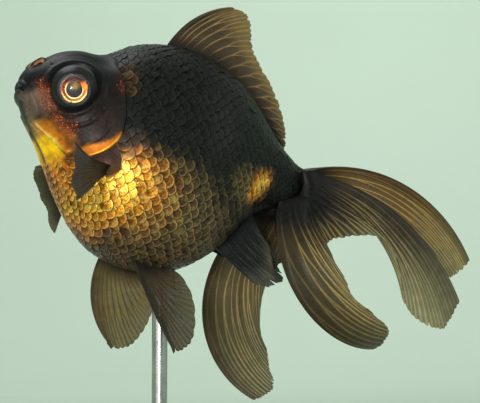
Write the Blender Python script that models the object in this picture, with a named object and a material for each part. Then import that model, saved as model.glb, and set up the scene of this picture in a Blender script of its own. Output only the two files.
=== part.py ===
"""A fancy goldfish with a double tail, as a still life-size model on a plain display stand.

Lengths in the tables are millimetres and angles degrees.  The fish is built in its own
frame: X runs back from the snout, Z up to the back, and -Y is the fish's left side.
An empty then tips the whole fish nose up and lifts it over the stand.
The body is one smooth surface, parted by thin cuts into head, trunk and tail stem.
Each fin is a fan of curved rays, given as a few guide rays and blended in between.
"""

import math

import bmesh
import bpy
import numpy as np

MM = 0.001
GAP = 0.3                     # clearance between neighbouring solids

# Pose of the fish
NOSE_UP = 18.0
SNOUT_AT = (-48.5, 0.0, 128.0)

# Body stations: distance behind the snout, top, bottom, half width
BODY = (
    (0.0, 4.0, 4.0, 0.0),
    (1.0, 7.6, -1.2, 4.5),
    (4.0, 11.2, -5.8, 8.0),
    (9.0, 16.2, -11.0, 11.5),
    (15.0, 19.2, -17.5, 14.5),
    (23.0, 21.0, -27.5, 18.5),
    (32.0, 28.0, -36.0, 22.0),
    (42.0, 32.0, -41.0, 25.0),
    (54.0, 33.5, -41.5, 26.5),
    (66.0, 31.0, -38.0, 24.5),
    (77.0, 25.0, -28.5, 19.0),
    (87.0, 17.0, -11.5, 12.0),
    (96.0, 12.0, -5.5, 7.0),
    (104.0, 10.5, -3.5, 3.0),
)
WIDEST = 0.45                 # level of the greatest width, as a share of the top's height
RING = 36                     # points round the body
LAST = len(BODY) - 1

# Where the body is parted, in stations: the gill opening from nape to throat, and the tail stem
GILL_LINE = (5.0, 5.2, 5.65, 5.95, 5.0, 4.3, 4.1)
STEM_LINE = (11.3, 11.3)
CUT = 0.05                    # width of a cut, in stations

# Gill covers: rounded plates over the cheek and gill opening
COVER_AT = (5.50, 1.52)       # middle, as station and angle down from the back
COVER_REACH = (0.55, 0.56)    # half its length in stations, half its height as an angle
COVER_SLANT = 0.34            # how far the plate swings forward, in stations per radian down
COVER_SQUARENESS = 2.6
COVER_THICK = 0.7
COVER_RINGS = 3
COVER_SEGMENTS = 18

# Eyes, right side; the left one is mirrored
EYE_AT = (15.4, 11.5, 4.2)
EYE_LOOKS = (-0.28, 1.0, -0.22)
EYE_RADIUS = 8.0
ORBIT_RISE = 1.2              # swelling of the head round the eye
ORBIT_SPREAD = 9.0

# Snout
MOUTH_AT = (0.2, 0.0, 1.2)
MOUTH_SIZE = (3.0, 4.6, 0.6)
NOSTRIL_AT = (3.5, 2.6, 10.7)
NOSTRIL_SIZE = (2.2, 1.4, 1.7)

# Fins: root x, y, z; heading at root and tip, from straight back towards the back;
# splay out of the middle plane at root and tip; length
DORSAL = (
    (42.5, 0.0, 31.0, 78, 25, 2, 0, 29.5),
    (48.0, 0.0, 31.5, 71, 26, 2, -3, 28.5),
    (58.0, 0.0, 31.0, 62, 13, 1, -2, 18.5),
    (71.0, 0.0, 26.0, 45, -5, 0, 2, 14.5),
    (82.0, 0.0, 19.0, 22, -23, 0, 2, 10.0),
    (91.0, 0.0, 13.0, -8, -40, 0, 0, 3.0),
)
PECTORAL_LEFT = (
    (31.8, 19.4, -15.6, 210, 158, 54, 34, 26.0),
    (31.6, 19.2, -16.7, 202, 192, 55, 38, 24.0),
    (31.3, 18.9, -17.7, 215, 214, 52, 40, 25.0),
    (31.0, 18.5, -18.9, 235, 232, 50, 40, 25.5),
)
PECTORAL_RIGHT = (
    (33.0, 18.7, -16.0, 122, 220, 54, 49, 21.0),
    (32.6, 18.6, -17.4, 186, 234, 59, 48, 16.6),
    (32.2, 18.4, -18.9, 236, 256, 53, 44, 14.6),
    (31.8, 18.1, -20.3, 278, 278, 41, 30, 17.8),
)
PELVIC_LEFT = (
    (50.0, 8.5, -38.0, -61, -47, 27, 14, 35.0),
    (53.0, 7.5, -38.5, -57, -53, 26, 12, 33.0),
    (56.5, 6.5, -38.0, -48, -42, 25, 10, 29.0),
    (59.5, 5.5, -36.5, -22, -10, 26, 12, 9.0),
)
PELVIC_RIGHT = (
    (45.5, 9.0, -38.0, -92, -25, 37, 3, 36.5),
    (50.0, 8.0, -38.5, -81, -48, 36, 11, 33.0),
    (54.5, 7.0, -38.5, -69, -53, 31, 12, 29.5),
    (58.5, 6.0, -38.0, -52, -44, 31, 12, 17.5),
)
ANAL_LEFT = (
    (77.5, 4.3, -25.5, -30, -22, 14, 6, 18.5),
    (80.0, 3.8, -23.0, -32, -20, 14, 6, 21.5),
    (83.0, 3.4, -18.0, -37, -22, 14, 6, 20.0),
    (86.5, 3.0, -10.5, -55, -34, 14, 6, 13.0),
)
ANAL_RIGHT = (
    (77.5, 4.3, -25.5, -2, -8, 14, 4, 29.0),
    (80.0, 3.8, -22.5, -18, -11, 14, 4, 26.5),
    (83.0, 3.4, -17.5, -24, -10, 13, 3, 27.0),
    (86.0, 3.0, -10.5, -36, -15, 13, 3, 14.0),
)
TAIL_LEFT = (
    (99.5, 1.2, 8.5, 15, -55, 3, 12, 75.0),
    (100.5, 1.3, 6.8, 5, -66, 12, 8, 73.0),
    (101.5, 1.5, 5.0, 4, -68, 17, 6, 55.0),
    (102.0, 1.5, 2.5, -4, -25, 24, 14, 29.5),
    (102.0, 1.5, 0.5, -42, -49, 28, 13, 18.5),
    (101.0, 1.5, -0.8, -66, -33, 39, 8, 38.5),
    (98.5, 1.2, -2.0, -77, -1, 38, -4, 57.5),
    (95.0, 1.0, -3.0, -97, 23, 31, -28, 76.0),
)
TAIL_RIGHT = (
    (99.5, 1.2, 8.5, 36, -42, 4, 11, 84.0),
    (100.5, 1.3, 6.8, 28, -37, 12, 9, 81.0),
    (101.5, 1.5, 5.0, 16, -31, 15, 4, 69.0),
    (102.0, 1.5, 2.5, -1, -16, 15, 1, 24.0),
    (102.0, 1.5, 0.5, -78, -80, 30, 12, 24.0),
    (101.0, 1.5, -0.8, -105, -36, 50, 8, 63.0),
    (98.5, 1.2, -2.0, -113, -18, 48, 4, 80.0),
    (95.0, 1.0, -3.0, -131, -8, 42, 2, 90.0),
)
FORK = 0.5                    # share of the fan where a tail fin's two lobes meet
FORK_GAP = 0.012
FIN_ROOT_THICK = 1.0
FIN_EDGE_THICK = 0.6

# Stand
BASE_SIZE = (124.0, 78.0, 10.0)
BASE_CORNER = 16.0
BASE_EDGE = 1.5
ROD_RADIUS = 2.5
COLLAR_RADIUS = 6.0
COLLAR_HEIGHT = 4.0
CRADLE_RADIUS = 5.0
CRADLE_BOTTOM = 66.0
CRADLE_TOP = 74.0

COLOURS = {                   # base colour, roughness, metallic
    "dark_scales": ((0.030, 0.032, 0.030), 0.35, 0.0),
    "gold_scales": ((0.42, 0.22, 0.06), 0.35, 0.3),
    "head_skin": ((0.035, 0.032, 0.030), 0.4, 0.0),
    "gill_cover": ((0.10, 0.055, 0.025), 0.35, 0.1),
    "brown_fin": ((0.16, 0.11, 0.05), 0.5, 0.0),
    "dark_fin": ((0.035, 0.030, 0.028), 0.5, 0.0),
    "eye": ((0.50, 0.20, 0.07), 0.1, 0.0),
    "wood": ((0.10, 0.055, 0.03), 0.45, 0.0),
    "steel": ((0.62, 0.62, 0.60), 0.3, 1.0),
}


def clear_scene():
    for item in list(bpy.data.objects):
        bpy.data.objects.remove(item, do_unlink=True)


def make_material(name):
    colour, roughness, metallic = COLOURS[name]
    material = bpy.data.materials.new(name)
    material.use_nodes = True
    shader = material.node_tree.nodes["Principled BSDF"]
    shader.inputs["Base Color"].default_value = (*colour, 1.0)
    shader.inputs["Roughness"].default_value = roughness
    shader.inputs["Metallic"].default_value = metallic
    return material


def blend(table, steps):
    """Read a smooth curve through the rows of a table at fractional row numbers."""
    rows = np.asarray(table, float)
    rows = np.concatenate([[2 * rows[0] - rows[1]], rows, [2 * rows[-1] - rows[-2]]])
    steps = np.asarray(steps, float)
    row = np.clip(np.floor(steps).astype(int), 0, len(rows) - 4)
    f = steps - row
    f = f[..., None] if rows.ndim > 1 else f
    a, b, c, d = (rows[row + k] for k in range(4))
    return b + 0.5 * f * (c - a + f * (2 * a - 5 * b + 4 * c - d + f * (3 * (b - c) + d - a)))


def body_surface(station, angle):
    """Points of the body; the angle runs from the right side (0) over the back."""
    x, top, bottom, half_width = np.moveaxis(blend(BODY, station), -1, 0)
    middle = WIDEST * top + (1 - WIDEST) * bottom
    rise = np.where(np.sin(angle) > 0, top - middle, middle - bottom)
    points = np.stack([x, half_width * np.cos(angle), middle + rise * np.sin(angle)], -1)
    for side in (1, -1):
        centre, looks = eye_frame(side)
        distance = np.linalg.norm(points - (centre + looks * 3.0), axis=-1, keepdims=True)
        points = points + ORBIT_RISE * np.exp(-(distance / ORBIT_SPREAD) ** 2) * looks
    return points


def eye_frame(side):
    centre = np.array(EYE_AT) * (1, side, 1)
    looks = np.array(EYE_LOOKS) * (1, side, 1)
    return centre, looks / np.linalg.norm(looks)


def part_line(line, angle):
    """Station of a parting line at each angle; the line is given from the back to the belly."""
    from_back = np.abs((angle - np.pi / 2 + np.pi) % (2 * np.pi) - np.pi) / np.pi
    return blend(line, from_back * (len(line) - 1))


def new_object(name, mesh, material, pose):
    thing = bpy.data.objects.new(name, mesh)
    bpy.context.scene.collection.objects.link(thing)
    thing.parent = pose
    thing.data.materials.clear()
    if material:
        thing.data.materials.append(material)
    return thing


def shell_mesh(name, rings):
    """Closed mesh from rings of points, each end closed by a fan to its middle."""
    count, around = rings.shape[:2]
    shell = bmesh.new()
    verts = [[shell.verts.new(point * MM) for point in ring] for ring in rings]
    for near, far in zip(verts, verts[1:]):
        for k in range(around):
            after = (k + 1) % around
            shell.faces.new((near[k], near[after], far[after], far[k]))
    for ring, points, back in ((verts[0], rings[0], True), (verts[-1], rings[-1], False)):
        hub = shell.verts.new(points.mean(0) * MM)
        for k in range(around):
            pair = (ring[k], ring[(k + 1) % around])
            shell.faces.new((hub, *(pair[::-1] if back else pair)))
    bmesh.ops.remove_doubles(shell, verts=shell.verts, dist=1e-6)
    bmesh.ops.recalc_face_normals(shell, faces=shell.faces)
    mesh = bpy.data.meshes.new(name)
    shell.to_mesh(mesh)
    shell.free()
    mesh.shade_smooth()
    mesh.set_sharp_from_angle(angle=math.radians(50))
    return mesh


def body_rings(start, end, count):
    """Rings between two parting lines, each a number of stations or a line."""
    angle = np.linspace(0, 2 * np.pi, RING, endpoint=False)
    share = np.linspace(0, 1, count)[:, None]
    angle = angle + 0 * share
    first = start if np.isscalar(start) else part_line(start, angle) + CUT
    last = end if np.isscalar(end) else part_line(end, angle)
    station = first + (last - first) * share + 0 * angle
    return body_surface(station, angle)


def ball(name, centre, radii, pose, material, segments=20, rings=12):
    shell = bmesh.new()
    bmesh.ops.create_uvsphere(shell, u_segments=segments, v_segments=rings, radius=MM)
    bmesh.ops.scale(shell, vec=radii, verts=shell.verts)
    mesh = bpy.data.meshes.new(name)
    shell.to_mesh(mesh)
    shell.free()
    mesh.shade_smooth()
    thing = new_object(name, mesh, material, pose)
    thing.location = np.array(centre) * MM
    return thing


def as_cutter(thing):
    thing.hide_render = True
    thing.display_type = "WIRE"
    return thing


def cut(thing, cutter):
    boolean = thing.modifiers.new("cut", "BOOLEAN")
    boolean.operation = "DIFFERENCE"
    boolean.solver = "EXACT"
    boolean.object = cutter


def body_clearance(pose):
    """The whole body swelled by the gap; it trims the fins, nostril flaps and stand."""
    mesh = shell_mesh("body_clearance", body_rings(0.0, float(LAST), 40))
    for vert, normal in zip(mesh.vertices, [v.normal.copy() for v in mesh.vertices]):
        vert.co += normal * GAP * MM
    return as_cutter(new_object("body_clearance", mesh, None, pose))


def make_body(pose, paints):
    head = shell_mesh("head", body_rings(0.0, GILL_LINE, 18))
    head = new_object("head", head, paints["head_skin"], pose)
    trunk = shell_mesh("trunk", body_rings(GILL_LINE, STEM_LINE, 22))
    new_object("trunk", trunk, paints["gold_scales"], pose)
    stem = shell_mesh("tail_stem", body_rings(STEM_LINE, float(LAST), 7))
    new_object("tail_stem", stem, paints["dark_scales"], pose)
    mouth = ball("mouth_opening", MOUTH_AT, MOUTH_SIZE, pose, None)
    cut(head, as_cutter(mouth))
    return head


def make_eyes(pose, paints, head):
    for side, label in ((-1, "left"), (1, "right")):
        centre, _ = eye_frame(side)
        ball("eye_" + label, centre, (EYE_RADIUS,) * 3, pose, paints["eye"], 16, 10)
        socket = ball("socket_" + label, centre, (EYE_RADIUS + GAP,) * 3, pose, None, 16, 10)
        cut(head, as_cutter(socket))


def make_gill_covers(pose, paints):
    """Thin plates on a polar grid, standing off the head and flank by the gap."""
    turn = np.linspace(0, 2 * np.pi, COVER_SEGMENTS, endpoint=False)
    power = 2 / COVER_SQUARENESS
    out = np.linspace(0, 1, COVER_RINGS + 1)[1:, None]
    station = COVER_AT[0] + COVER_REACH[0] * out * np.sign(np.cos(turn)) * np.abs(np.cos(turn)) ** power
    drop = COVER_REACH[1] * out * np.sign(np.sin(turn)) * np.abs(np.sin(turn)) ** power
    station -= COVER_SLANT * drop
    for side, label in ((-1, "left"), (1, "right")):
        angle = np.pi / 2 - side * (COVER_AT[1] + drop)
        layers = [offset_surface(station, angle, GAP + lift) for lift in (COVER_THICK, 0.0)]
        rings = np.concatenate([layers[0], layers[1][::-1]])
        new_object("gill_cover_" + label, shell_mesh("gill_cover", rings), paints["gill_cover"], pose)


def offset_surface(station, angle, lift):
    """Points at a height over the body's surface."""
    small = 0.01
    along = body_surface(station + small, angle) - body_surface(station - small, angle)
    around = body_surface(station, angle + small) - body_surface(station, angle - small)
    normal = np.cross(around, along)
    return body_surface(station, angle) + lift * normal / np.linalg.norm(normal, axis=-1, keepdims=True)


def make_nostril_flaps(pose, paints, clearance):
    for side, label in ((-1, "left"), (1, "right")):
        centre = np.array(NOSTRIL_AT) * (1, side, 1)
        flap = ball("nostril_flap_" + label, centre, NOSTRIL_SIZE, pose, paints["head_skin"], 10, 6)
        cut(flap, clearance)


def fin_sheet(rays, columns, rows, side):
    """Points of a fin's middle surface: one curved ray per column, from root to tip."""
    table = blend(rays, columns * (len(rays) - 1))
    share = np.linspace(0, 1, rows)
    mid_step = (share[1:] + share[:-1]) / 2
    heading = np.radians(table[:, 3, None] + (table[:, 4] - table[:, 3])[:, None] * mid_step)
    splay = np.radians(table[:, 5, None] + (table[:, 6] - table[:, 5])[:, None] * mid_step)
    step = np.stack([np.cos(heading) * np.cos(splay), np.sin(splay),
                     np.sin(heading) * np.cos(splay)], -1)
    step *= (table[:, 7] / (rows - 1))[:, None, None]
    start = np.zeros((len(columns), 1, 3))
    points = np.concatenate([start, np.cumsum(step, 1)], 1) + table[:, None, :3]
    return points * (1, side, 1), share


def make_fin(name, rays, side, pose, material, clearance, columns, rows, span=(0.0, 1.0)):
    middle, share = fin_sheet(rays, np.linspace(*span, columns), rows, side)
    across, along = np.gradient(middle, axis=0), np.gradient(middle, axis=1)
    normal = np.cross(across, along)
    normal /= np.linalg.norm(normal, axis=-1, keepdims=True)
    half = (FIN_ROOT_THICK + (FIN_EDGE_THICK - FIN_ROOT_THICK) * share)[:, None] / 2
    faces = [middle + normal * half, middle - normal * half]
    fin = bmesh.new()
    near, far = ([[fin.verts.new(p * MM) for p in column] for column in face] for face in faces)
    for i in range(columns - 1):
        for j in range(rows - 1):
            fin.faces.new((near[i][j], near[i + 1][j], near[i + 1][j + 1], near[i][j + 1]))
            fin.faces.new((far[i][j], far[i][j + 1], far[i + 1][j + 1], far[i + 1][j]))
    rim = [(i, 0) for i in range(columns)] + [(columns - 1, j) for j in range(1, rows)]
    rim += [(i, rows - 1) for i in range(columns - 2, -1, -1)] + [(0, j) for j in range(rows - 2, 0, -1)]
    for (a, b), (c, d) in zip(rim, rim[1:] + rim[:1]):
        fin.faces.new((near[c][d], near[a][b], far[a][b], far[c][d]))
    bmesh.ops.recalc_face_normals(fin, faces=fin.faces)
    mesh = bpy.data.meshes.new(name)
    fin.to_mesh(mesh)
    fin.free()
    mesh.shade_smooth()
    mesh.set_sharp_from_angle(angle=math.radians(50))
    cut(new_object(name, mesh, material, pose), clearance)


def make_fins(pose, paints, clearance):
    brown, dark = paints["brown_fin"], paints["dark_fin"]
    make_fin("dorsal_fin", DORSAL, 1, pose, brown, clearance, 15, 7)
    make_fin("pectoral_fin_left", PECTORAL_LEFT, -1, pose, dark, clearance, 8, 7)
    make_fin("pectoral_fin_right", PECTORAL_RIGHT, 1, pose, dark, clearance, 8, 7)
    make_fin("pelvic_fin_left", PELVIC_LEFT, -1, pose, brown, clearance, 8, 7)
    make_fin("pelvic_fin_right", PELVIC_RIGHT, 1, pose, brown, clearance, 8, 7)
    make_fin("anal_fin_left", ANAL_LEFT, -1, pose, dark, clearance, 7, 6)
    make_fin("anal_fin_right", ANAL_RIGHT, 1, pose, dark, clearance, 7, 6)
    lobes = (("upper", (0.0, FORK - FORK_GAP)), ("lower", (FORK + FORK_GAP, 1.0)))
    for label, rays, side in (("left", TAIL_LEFT, -1), ("right", TAIL_RIGHT, 1)):
        for lobe, span in lobes:
            name = "tail_fin_" + lobe + "_" + label
            make_fin(name, rays, side, pose, brown, clearance, 12, 9, span)


def turned(name, radius, bottom, top, material, segments=24):
    shell = bmesh.new()
    bmesh.ops.create_cone(shell, cap_ends=True, segments=segments, depth=(top - bottom) * MM,
                          radius1=radius * MM, radius2=radius * MM)
    mesh = bpy.data.meshes.new(name)
    shell.to_mesh(mesh)
    shell.free()
    mesh.shade_smooth()
    mesh.set_sharp_from_angle(angle=math.radians(40))
    thing = new_object(name, mesh, material, None)
    thing.location.z = (top + bottom) / 2 * MM
    return thing


def make_base(paints):
    base = bmesh.new()
    bmesh.ops.create_cube(base, size=MM)
    bmesh.ops.scale(base, vec=BASE_SIZE, verts=base.verts)
    upright = [e for e in base.edges if abs(e.verts[0].co.z - e.verts[1].co.z) > MM]
    bmesh.ops.bevel(base, geom=upright, offset=BASE_CORNER * MM, segments=6, affect="EDGES",
                    profile=0.5)
    top = [e for e in base.edges if min(v.co.z for v in e.verts) > 0]
    bmesh.ops.bevel(base, geom=top, offset=BASE_EDGE * MM, segments=2, affect="EDGES", profile=0.5)
    mesh = bpy.data.meshes.new("stand_base")
    base.to_mesh(mesh)
    base.free()
    mesh.shade_smooth()
    mesh.set_sharp_from_angle(angle=math.radians(40))
    new_object("stand_base", mesh, paints["wood"], None).location.z = BASE_SIZE[2] / 2 * MM


def make_stand(paints, clearance):
    make_base(paints)
    floor = BASE_SIZE[2] + GAP
    turned("stand_rod", ROD_RADIUS, floor, CRADLE_BOTTOM - GAP, paints["steel"])
    collar = turned("stand_collar", COLLAR_RADIUS, floor, floor + COLLAR_HEIGHT, paints["steel"])
    bore = turned("collar_bore", ROD_RADIUS + GAP, 0.0, 2 * floor + COLLAR_HEIGHT, None)
    cut(collar, as_cutter(bore))
    cradle = turned("stand_cradle", CRADLE_RADIUS, CRADLE_BOTTOM, CRADLE_TOP, paints["steel"])
    cut(cradle, clearance)


def main():
    clear_scene()
    paints = {name: make_material(name) for name in COLOURS}
    pose = bpy.data.objects.new("fish_pose", None)
    bpy.context.scene.collection.objects.link(pose)
    pose.location = np.array(SNOUT_AT) * MM
    pose.rotation_euler = (0.0, math.radians(NOSE_UP), 0.0)
    clearance = body_clearance(pose)
    head = make_body(pose, paints)
    make_eyes(pose, paints, head)
    make_gill_covers(pose, paints)
    make_nostril_flaps(pose, paints, clearance)
    make_fins(pose, paints, clearance)
    make_stand(paints, clearance)


main()
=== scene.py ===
"""Looks for a life-size museum model of a black and gold fancy goldfish on a display stand.

The fish is worked in its own coordinates, in millimetres: X runs back from the snout, Z up to
the back, and -Y is its left side.  to_frame tips it nose up and lifts it over the stand.
One skin covers head, trunk and tail stem; scales, eyes, nostril flaps and fins lie on it.
"""
import math

import bmesh
import bpy
import numpy as np
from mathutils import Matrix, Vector


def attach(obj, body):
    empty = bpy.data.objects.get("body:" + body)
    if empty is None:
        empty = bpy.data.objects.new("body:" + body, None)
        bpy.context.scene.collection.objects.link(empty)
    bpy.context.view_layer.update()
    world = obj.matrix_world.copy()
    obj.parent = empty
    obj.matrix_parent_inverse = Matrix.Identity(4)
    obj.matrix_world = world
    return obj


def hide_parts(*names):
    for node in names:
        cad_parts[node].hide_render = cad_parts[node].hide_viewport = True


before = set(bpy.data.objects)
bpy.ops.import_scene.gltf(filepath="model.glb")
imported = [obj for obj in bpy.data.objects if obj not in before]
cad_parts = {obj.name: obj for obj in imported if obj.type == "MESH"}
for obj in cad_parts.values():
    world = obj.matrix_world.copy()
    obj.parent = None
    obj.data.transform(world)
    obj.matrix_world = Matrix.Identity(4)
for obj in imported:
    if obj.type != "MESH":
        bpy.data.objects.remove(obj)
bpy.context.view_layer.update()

SIDES = ((-1, "left"), (1, "right"))

# ---- the fish's form, as the solids
MM = 0.001
TIP = math.radians(18)      # how far the nose is tipped up
TIPPED = np.array([(math.cos(TIP), 0, -math.sin(TIP)), (0, 1, 0), (math.sin(TIP), 0, math.cos(TIP))])
SNOUT_AT = (-48.5, 0, 128)

# Body stations: distance behind the snout, top, bottom, half width
BODY = (
    (0, 4, 4, 0),
    (1, 7.6, -1.2, 4.5),
    (4, 11.2, -5.8, 8),
    (9, 16.2, -11, 11.5),
    (15, 19.2, -17.5, 14.5),
    (23, 21, -27.5, 18.5),
    (32, 28, -36, 22),
    (42, 32, -41, 25),
    (54, 33.5, -41.5, 26.5),
    (66, 31, -38, 24.5),
    (77, 25, -28.5, 19),
    (87, 17, -11.5, 12),
    (96, 12, -5.5, 7),
    (104, 10.5, -3.5, 3),
)
WIDEST = 0.45
LAST = len(BODY) - 1
GILL_LINE = (5, 5.2, 5.65, 5.95, 5, 4.3, 4.1)   # stations of the gill opening, back to belly
STATION_LENGTH = 9                               # mm per station at the gill opening

EYE_AT = (15.4, 11.5, 4.2)
EYE_LOOKS = (-0.28, 1, -0.22)
EYE_RADIUS = 8
ORBIT_RISE = 1.2              # swelling of the head round the eye: rise, spread, middle off the eye's own
ORBIT_SPREAD = 9
ORBIT_OUT = 3
STEM_THINS = (11.6, 13)       # stations over which the skin thins into the tail fins
NOSTRIL_AT = (3.5, 2.6, 10.7)

# Fins: root x, y, z; heading at root and tip, from straight back towards the back;
# splay out of the middle plane at root and tip; length
DORSAL = (
    (42.5, 0, 31, 78, 25, 2, 0, 29.5),
    (48, 0, 31.5, 71, 26, 2, -3, 28.5),
    (58, 0, 31, 62, 13, 1, -2, 18.5),
    (71, 0, 26, 45, -5, 0, 2, 14.5),
    (82, 0, 19, 22, -23, 0, 2, 10),
    (91, 0, 13, -8, -40, 0, 0, 3),
)
PECTORAL_LEFT = (
    (31.8, 19.4, -15.6, 210, 158, 54, 34, 26),
    (31.6, 19.2, -16.7, 202, 192, 55, 38, 24),
    (31.3, 18.9, -17.7, 215, 214, 52, 40, 25),
    (31, 18.5, -18.9, 235, 232, 50, 40, 25.5),
)
PECTORAL_RIGHT = (
    (33, 18.7, -16, 122, 220, 54, 49, 21),
    (32.6, 18.6, -17.4, 186, 234, 59, 48, 16.6),
    (32.2, 18.4, -18.9, 236, 256, 53, 44, 14.6),
    (31.8, 18.1, -20.3, 278, 278, 41, 30, 17.8),
)
PELVIC_LEFT = (
    (50, 8.5, -38, -61, -47, 27, 14, 35),
    (53, 7.5, -38.5, -57, -53, 26, 12, 33),
    (56.5, 6.5, -38, -48, -42, 25, 10, 29),
    (59.5, 5.5, -36.5, -22, -10, 26, 12, 9),
)
PELVIC_RIGHT = (
    (45.5, 9, -38, -92, -25, 37, 3, 36.5),
    (50, 8, -38.5, -81, -48, 36, 11, 33),
    (54.5, 7, -38.5, -69, -53, 31, 12, 29.5),
    (58.5, 6, -38, -52, -44, 31, 12, 17.5),
)
ANAL_LEFT = (
    (77.5, 4.3, -25.5, -30, -22, 14, 6, 18.5),
    (80, 3.8, -23, -32, -20, 14, 6, 21.5),
    (83, 3.4, -18, -37, -22, 14, 6, 20),
    (86.5, 3, -10.5, -55, -34, 14, 6, 13),
)
ANAL_RIGHT = (
    (77.5, 4.3, -25.5, -2, -8, 14, 4, 29),
    (80, 3.8, -22.5, -18, -11, 14, 4, 26.5),
    (83, 3.4, -17.5, -24, -10, 13, 3, 27),
    (86, 3, -10.5, -36, -15, 13, 3, 14),
)
TAIL_LEFT = (
    (99.5, 1.2, 8.5, 15, -55, 3, 12, 75),
    (100.5, 1.3, 6.8, 5, -66, 12, 8, 73),
    (101.5, 1.5, 5, 4, -68, 17, 6, 55),
    (102, 1.5, 2.5, -4, -25, 24, 14, 29.5),
    (102, 1.5, 0.5, -42, -49, 28, 13, 18.5),
    (101, 1.5, -0.8, -66, -33, 39, 8, 38.5),
    (98.5, 1.2, -2, -77, -1, 38, -4, 57.5),
    (95, 1, -3, -97, 23, 31, -28, 76),
)
TAIL_RIGHT = (
    (99.5, 1.2, 8.5, 36, -42, 4, 11, 84),
    (100.5, 1.3, 6.8, 28, -37, 12, 9, 81),
    (101.5, 1.5, 5, 16, -31, 15, 4, 69),
    (102, 1.5, 2.5, -1, -16, 15, 1, 24),
    (102, 1.5, 0.5, -78, -80, 30, 12, 24),
    (101, 1.5, -0.8, -105, -36, 50, 8, 63),
    (98.5, 1.2, -2, -113, -18, 48, 4, 80),
    (95, 1, -3, -131, -8, 42, 2, 90),
)
FORK = 0.5


def through(table, steps):
    """Read a smooth curve through the rows of a table at fractional row numbers."""
    rows = np.asarray(table, float)
    rows = np.concatenate([[2 * rows[0] - rows[1]], rows, [2 * rows[-1] - rows[-2]]])
    steps = np.asarray(steps, float)
    row = np.clip(np.floor(steps).astype(int), 0, len(rows) - 4)
    f = steps - row
    f = f[..., None] if rows.ndim > 1 else f
    a, b, c, d = (rows[row + k] for k in range(4))
    return b + 0.5 * f * (c - a + f * (2 * a - 5 * b + 4 * c - d + f * (3 * (b - c) + d - a)))


def ease(low, high, value):
    """Smooth step from 0 at low to 1 at high."""
    t = np.clip((value - low) / (high - low), 0, 1)
    return t * t * (3 - 2 * t)


def fade(low, high, value):
    """Smooth step from 1 at low to 0 at high."""
    return 1 - ease(low, high, value)


def bell(distance, width):
    return np.exp(-(distance / width) ** 2)


def blend(first, second, share):
    """Mix two colours by a share for each point."""
    return first + (second - first) * share[..., None]


def length_of(vectors):
    return np.linalg.norm(vectors, axis=-1)


def unit(vectors):
    return vectors / np.maximum(length_of(vectors)[..., None], 1e-9)


def folded(points):
    """Points of both sides laid over each other on the right side."""
    return points * (1, 0, 1) + np.abs(points) * (0, 1, 0)


def circle(count):
    return np.linspace(0, 2 * np.pi, count, endpoint=False)


def eye_axes(side):
    """Centre of an eye, the way it looks, and the ways back and up across it."""
    centre, looks = np.array(EYE_AT) * (1, side, 1), unit(np.array(EYE_LOOKS) * (1, side, 1))
    back = unit(np.cross(looks, (0, 0, 1)))
    return centre, looks, back * side, np.cross(back, looks)


def body_surface(station, angle):
    """Points of the plain body; the angle runs from the right side (0) over the back."""
    x, top, bottom, half_width = np.moveaxis(through(BODY, station), -1, 0)
    middle = WIDEST * top + (1 - WIDEST) * bottom
    rise = np.where(np.sin(angle) > 0, top - middle, middle - bottom)
    points = np.stack([x, half_width * np.cos(angle), middle + rise * np.sin(angle)], -1)
    for side, _ in SIDES[::-1]:
        centre, looks = eye_axes(side)[:2]
        distance = length_of(points - (centre + looks * ORBIT_OUT))[..., None]
        points = points + ORBIT_RISE * bell(distance, ORBIT_SPREAD) * looks
    return points


def body_normal(station, angle):
    station, small = np.maximum(station, 0.04), 0.01
    along = body_surface(station + small, angle) - body_surface(station - small, angle)
    around = body_surface(station, angle + small) - body_surface(station, angle - small)
    return unit(np.cross(around, along))


def off_body(station, angle, height):
    """Points at a height over the plain body, in mm."""
    return body_surface(station, angle) + height[..., None] * body_normal(station, angle)


def stem_taper(station, angle):
    """How much the skin thins where the tail stem passes into the tail fins."""
    return ease(*STEM_THINS, station) * (0.5 + 1.5 * np.abs(np.cos(angle)))


def down_of(angle):
    """How far a body angle is from the middle of the back: 0 to pi at the belly."""
    return np.abs((angle - np.pi / 2 + np.pi) % (2 * np.pi) - np.pi)


def gill_station(down):
    return through(GILL_LINE, down / np.pi * (len(GILL_LINE) - 1))


def to_frame(points):
    """Fish millimetres to the frame's metres."""
    return (points @ TIPPED + SNOUT_AT) * MM


def from_frame(points):
    """The frame's metres back to fish millimetres."""
    return (np.asarray(points, float) / MM - SNOUT_AT) @ TIPPED.T


# ---- meshes
STORES = {1: ("FLOAT", "value"), 3: ("FLOAT_VECTOR", "vector"), 4: ("FLOAT_COLOR", "color")}


def build_mesh(name, points, faces=()):
    mesh = bpy.data.meshes.new(name)
    mesh.from_pydata(np.asarray(points).tolist(), [], faces)
    mesh.update()
    mesh.shade_smooth()
    return mesh


def new_object(name, data):
    thing = bpy.data.objects.new(name, data)
    bpy.context.scene.collection.objects.link(thing)
    return thing


def wear(mesh, material):
    mesh.materials.clear()
    mesh.materials.append(material)


def add_piece(name, mesh, material):
    wear(mesh, material)
    return new_object(name, mesh)


def give(mesh, **stored):
    """Store a value, vector or colour for each vertex under each name."""
    for name, values in stored.items():
        if name == "pigment":
            values = np.column_stack([values, np.ones(len(values))])
        values = np.asarray(values, np.float32)
        kind, key = STORES[values.size // len(mesh.vertices)]
        mesh.attributes.new(name, kind, "POINT").data.foreach_set(key, values.ravel())


def read(mesh, name, width):
    values = np.empty(len(mesh.vertices) * width, np.float32)
    mesh.attributes[name].data.foreach_get(STORES[width][1], values)
    return values.reshape(-1, width)


def ring_faces(rings, around):
    """Quads between rings of vertices that follow each other."""
    k = np.arange(around)
    after = (k + 1) % around
    return [face for low in range(0, (rings - 1) * around, around) for face in
            np.stack([low + k, low + after, low + around + after, low + around + k], 1).tolist()]


def fan_faces(hub, start, around, turned):
    ring = [(start + k, start + (k + 1) % around) for k in range(around)]
    return [(hub, b, a) if turned else (hub, a, b) for a, b in ring]


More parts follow.
